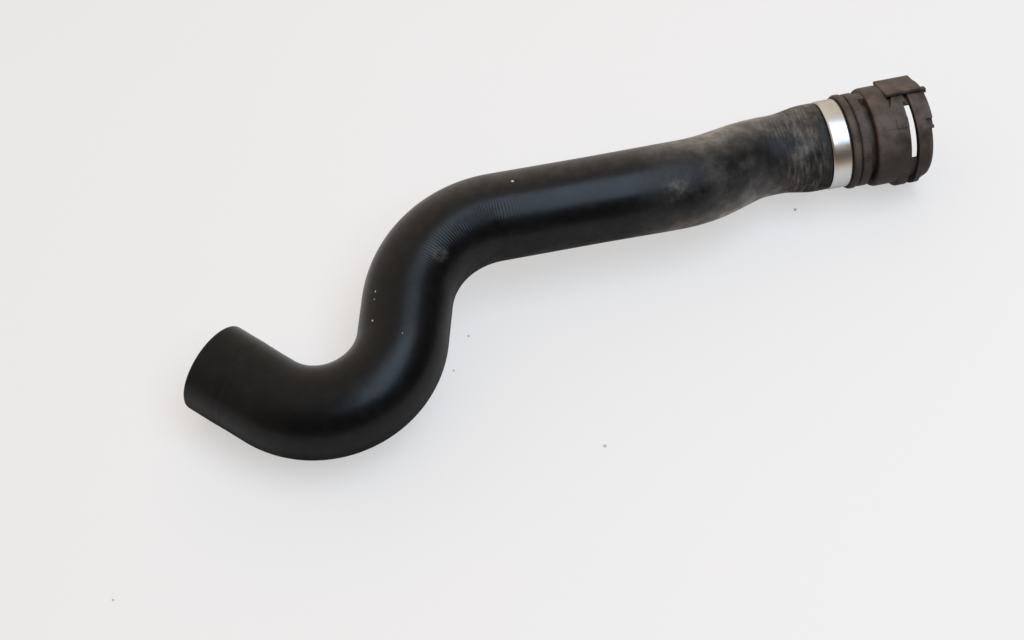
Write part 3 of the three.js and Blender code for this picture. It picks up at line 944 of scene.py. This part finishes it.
ripples = waves_across(nodes, links, unrolled, RIPPLE_PITCH, 1.6, 1)
elbow = stretch_mask(nodes, links, along, *RIPPLES_ALONG)
inner_side = remap(nodes, links, far, -0.1, -0.4)
ripple_zone = product(nodes, links, elbow, inner_side)
height = product(nodes, links, ripples, ripple_zone)
grain = bump(nodes, links, fine, 0.35, 0.00008)
lumps = bump(nodes, links, cloud, 0.3, 0.0006, grain)
scuffs = bump(nodes, links, mottle, 0.2, 0.0002, lumps)
links.new(bump(nodes, links, height, 0.7, 0.00016, scuffs), shader.inputs["Normal"])
hose.data.materials.clear()
hose.data.materials.append(rubber)
print("ripples from", RIPPLES_ALONG[0], "to", RIPPLES_ALONG[-1], "mm along the hose")

# %% [markdown]
# ## Metal of the ring
#
# Rolled aluminium is bright and a little blurred round the ring, where the rollers left fine lines.
# An anisotropic shader could blur it, but a bump of stretched noise shows the lines as well. A
# brownish tint is painted where the metal faces up at a slant, as a painted reflection of the warm
# bench and room.

# %% Ring metal
metal, nodes, links, shader = new_material("rolled_aluminium")
place = nodes.new("ShaderNodeTexCoord").outputs["Object"]
lines = noise(nodes, links, place, 1400, 2, 0.5, (1, 0.06, 0.06))
stains = noise(nodes, links, place, 90, 4, 0.6)
tone = remap(nodes, links, stains, 0.4, 0.75, 0.0, 0.6)
up = attribute(nodes, "faces_up")
# Painted reflection: a brownish tint on the faces that slant upwards stands for the warm bench and room
# mirrored in the metal.
below_top = remap(nodes, links, up, 0.84, 0.74)
above_side = remap(nodes, links, up, 0.2, 0.5)
uneven = remap(nodes, links, stains, 0.35, 0.6, 0.5, 1.0)
painted_reflection_mask = product(nodes, links, below_top, above_side, uneven)
CLEAN_METAL = (0.72, 0.70, 0.67)
STAINED_METAL = (0.60, 0.55, 0.49)
WARM_REFLECTION = (0.56, 0.44, 0.34)
metal_colour = mix_colour(nodes, links, tone, CLEAN_METAL, STAINED_METAL)
links.new(mix_colour(nodes, links, painted_reflection_mask, metal_colour, WARM_REFLECTION), shader.inputs["Base Color"])
shader.inputs["Metallic"].default_value = 1.0
links.new(remap(nodes, links, stains, 0.3, 0.75, 0.30, 0.42), shader.inputs["Roughness"])
links.new(bump(nodes, links, lines, 0.15, 0.00005), shader.inputs["Normal"])
ring.data.materials.clear()
ring.data.materials.append(metal)
print("ring metal:", len(nodes), "nodes")

# %% [markdown]
# ## Plastic of the connector
#
# Glass-filled nylon is a dull brown-black with a fine grain. Its colour is darker on the lower faces
# and lighter on the upper ones, partly a thin film of dust and partly painted light from above. Dust
# could be worked out from the corners of the mesh, but it settles from above, so the layer that tells
# which way a face looks is enough.

# %% Connector plastic
plastic, nodes, links, shader = new_material("filled_nylon")
place = nodes.new("ShaderNodeTexCoord").outputs["Object"]
mottle = noise(nodes, links, place, 130, 5, 0.62)
grit = noise(nodes, links, place, 1100, 3)
# Painted light and shade: upper faces are lighter and lower faces darker, as light from above falls,
# mixed with a patchy film of dust.
painted_light_from_above = remap(nodes, links, attribute(nodes, "faces_up"), -0.1, 0.95, 0.14, 1.0)
film = product(nodes, links, remap(nodes, links, mottle, 0.3, 0.7, 0.3, 1.0), painted_light_from_above)
DARK_NYLON = (0.020, 0.0125, 0.009)
DUSTY_LIT_NYLON = (0.142, 0.099, 0.073)
links.new(mix_colour(nodes, links, film, DARK_NYLON, DUSTY_LIT_NYLON), shader.inputs["Base Color"])
links.new(remap(nodes, links, mottle, 0.3, 0.7, 0.46, 0.6), shader.inputs["Roughness"])
shader.inputs["Specular IOR Level"].default_value = 0.25
soft_grain = bump(nodes, links, mottle, 0.3, 0.0004)
links.new(bump(nodes, links, grit, 0.3, 0.00012, soft_grain), shader.inputs["Normal"])
body.data.materials.clear()
body.data.materials.append(plastic)
print("connector plastic:", len(nodes), "nodes")

# %% [markdown]
# ## Rubber of the seal
#
# The seal is black rubber too, moulded smooth and kept clean inside the socket. It could share the
# hose's finish, but that one reads the hose's own map and carries its dust, so the seal gets a small
# finish of its own.

# %% Seal rubber
seal_rubber, nodes, links, shader = new_material("seal_rubber")
place = nodes.new("ShaderNodeTexCoord").outputs["Object"]
cloudy = noise(nodes, links, place, 400, 3)
seal_colour = mix_colour(nodes, links, cloudy, (0.007, 0.007, 0.008), (0.014, 0.013, 0.013))
links.new(seal_colour, shader.inputs["Base Color"])
links.new(remap(nodes, links, cloudy, 0.3, 0.7, 0.34, 0.44), shader.inputs["Roughness"])
seal.data.materials.append(seal_rubber)
print("seal rubber:", len(nodes), "nodes")

# %% [markdown]
# ## Bench and light
#
# The bench is pale paper. Plain lit paper would show the lamp's fall-off, so about half of what the
# camera sees is its own even tone and the rest is lit, with the hose's own soft shadow on it. One
# large window lamp, high up past the connector's end and on the near side, gives the bluish sheen on
# the rubber. It could be moved about until the sheen fits, but its place was found by following the
# highlights in the photo back from the round sides of the hose.

# %% Bench
bench_bm = bmesh.new()
bmesh.ops.create_grid(bench_bm, x_segments=1, y_segments=1, size=4)
bench = to_object("bench", bench_bm)
paper, nodes, links, shader = new_material("pale_paper")
place = nodes.new("ShaderNodeTexCoord").outputs["Object"]
tint = remap(nodes, links, noise(nodes, links, place, 4, 2), 0.35, 0.65)
paper_colour = mix_colour(nodes, links, tint, (0.90, 0.82, 0.75), (0.91, 0.82, 0.74))
links.new(paper_colour, shader.inputs["Base Color"])
shader.inputs["Roughness"].default_value = 0.9
shader.inputs["Specular IOR Level"].default_value = 0.1
print("bench:", len(bench.data.polygons), "face")

# %% Crumbs and the even tone
EVEN_SHARE = 0.52
MIRRORED_SHARE = 0.25
CRUMBS = [((-209.6, -54.8, 0), 0.6), ((-221.2, -73.0, 0), 0.55), ((-159.0, -131.8, 0), 0.9)]
CRUMBS += [((-25.9, -17.5, 0), 0.8), ((-401.5, -158.4, 0), 0.6)]
crumbs = specks_mask(nodes, links, place, CRUMBS)
plain = nodes.new("ShaderNodeEmission")
links.new(mix_colour(nodes, links, crumbs, (1.0, 1.0, 1.0), (0.3, 0.28, 0.26)), plain.inputs["Color"])
rays = nodes.new("ShaderNodeLightPath")
camera_ray, through_ray = rays.outputs["Is Camera Ray"], rays.outputs["Is Transmission Ray"]
seen = math_node(nodes, links, "MAXIMUM", camera_ray, through_ray)
mirrored = product(nodes, links, rays.outputs["Is Glossy Ray"], MIRRORED_SHARE)
seen = math_node(nodes, links, "MAXIMUM", seen, mirrored)
faint_shadow = nodes.new("ShaderNodeMixShader")
links.new(product(nodes, links, seen, EVEN_SHARE), faint_shadow.inputs["Fac"])
links.new(shader.outputs["BSDF"], faint_shadow.inputs[1])
links.new(plain.outputs["Emission"], faint_shadow.inputs[2])
links.new(faint_shadow.outputs["Shader"], nodes["Material Output"].inputs["Surface"])
bench.data.materials.append(paper)
print("crumbs on the bench:", len(CRUMBS))


# %% Lamps
def soft_lamp(name, place, aim, size, power, colour):
    data = bpy.data.lights.new(name, "AREA")
    data.shape = "RECTANGLE"
    data.size, data.size_y = size
    data.energy = power
    data.color = colour
    lamp = bpy.data.objects.new(name, data)
    lamp.location = place
    lamp.rotation_euler = (Vector(aim) - Vector(place)).to_track_quat("-Z", "Y").to_euler()
    bpy.context.scene.collection.objects.link(lamp)
    return lamp


LAMP_X, LAMP_Y, LAMP_HEIGHT = 0.45, -0.4, 1.5
WINDOW_SIZE = (0.9, 1.6)
WINDOW_POWER = 20
WINDOW_BLUE = (0.60, 0.77, 1.0)
above = (LAMP_X, LAMP_Y, LAMP_HEIGHT)
window = soft_lamp("window", above, (LAMP_X, LAMP_Y, 0), WINDOW_SIZE, WINDOW_POWER, WINDOW_BLUE)
print("window lamp of", window.data.energy, "watts at", above)

# %% [markdown]
# ## The room
#
# A picture of a room could light the hose, but a gradient is easier to fit: pale at the far left and
# dim at the near right, which keeps the near side of the black rubber dark. What the camera sees past
# the bench is a plain pale backdrop instead.

# %% World
world = bpy.data.worlds.new("room")
bpy.context.scene.world = world
world.use_nodes = True
nodes, links = world.node_tree.nodes, world.node_tree.links
direction = nodes.new("ShaderNodeTexCoord").outputs["Generated"]
towards = nodes.new("ShaderNodeVectorMath")
towards.operation = "DOT_PRODUCT"
PALE_SIDE = Vector((-0.45, 0.80, 0.35)).normalized()
DIM_WALL = (0.09, 0.08, 0.07)
PALE_WALL = (0.80, 0.71, 0.61)
BACKDROP = 0.847
towards.inputs[1].default_value = PALE_SIDE
links.new(direction, towards.inputs[0])
pale_share = remap(nodes, links, towards.outputs["Value"], -0.35, 0.9)
room = nodes["Background"]
links.new(mix_colour(nodes, links, pale_share, DIM_WALL, PALE_WALL), room.inputs["Color"])
room.inputs["Strength"].default_value = 1.0
backdrop = nodes.new("ShaderNodeBackground")
backdrop.inputs["Color"].default_value = (BACKDROP, BACKDROP, BACKDROP, 1)
rays = nodes.new("ShaderNodeLightPath")
camera_ray, through_ray = rays.outputs["Is Camera Ray"], rays.outputs["Is Transmission Ray"]
seen = math_node(nodes, links, "MAXIMUM", camera_ray, through_ray)
choice = nodes.new("ShaderNodeMixShader")
links.new(seen, choice.inputs["Fac"])
links.new(room.outputs["Background"], choice.inputs[1])
links.new(backdrop.outputs["Background"], choice.inputs[2])
links.new(choice.outputs["Shader"], nodes["World Output"].inputs["Surface"])
bpy.context.scene.view_settings.view_transform = "Standard"
print("room: dim", DIM_WALL, "pale", PALE_WALL, "backdrop", BACKDROP)
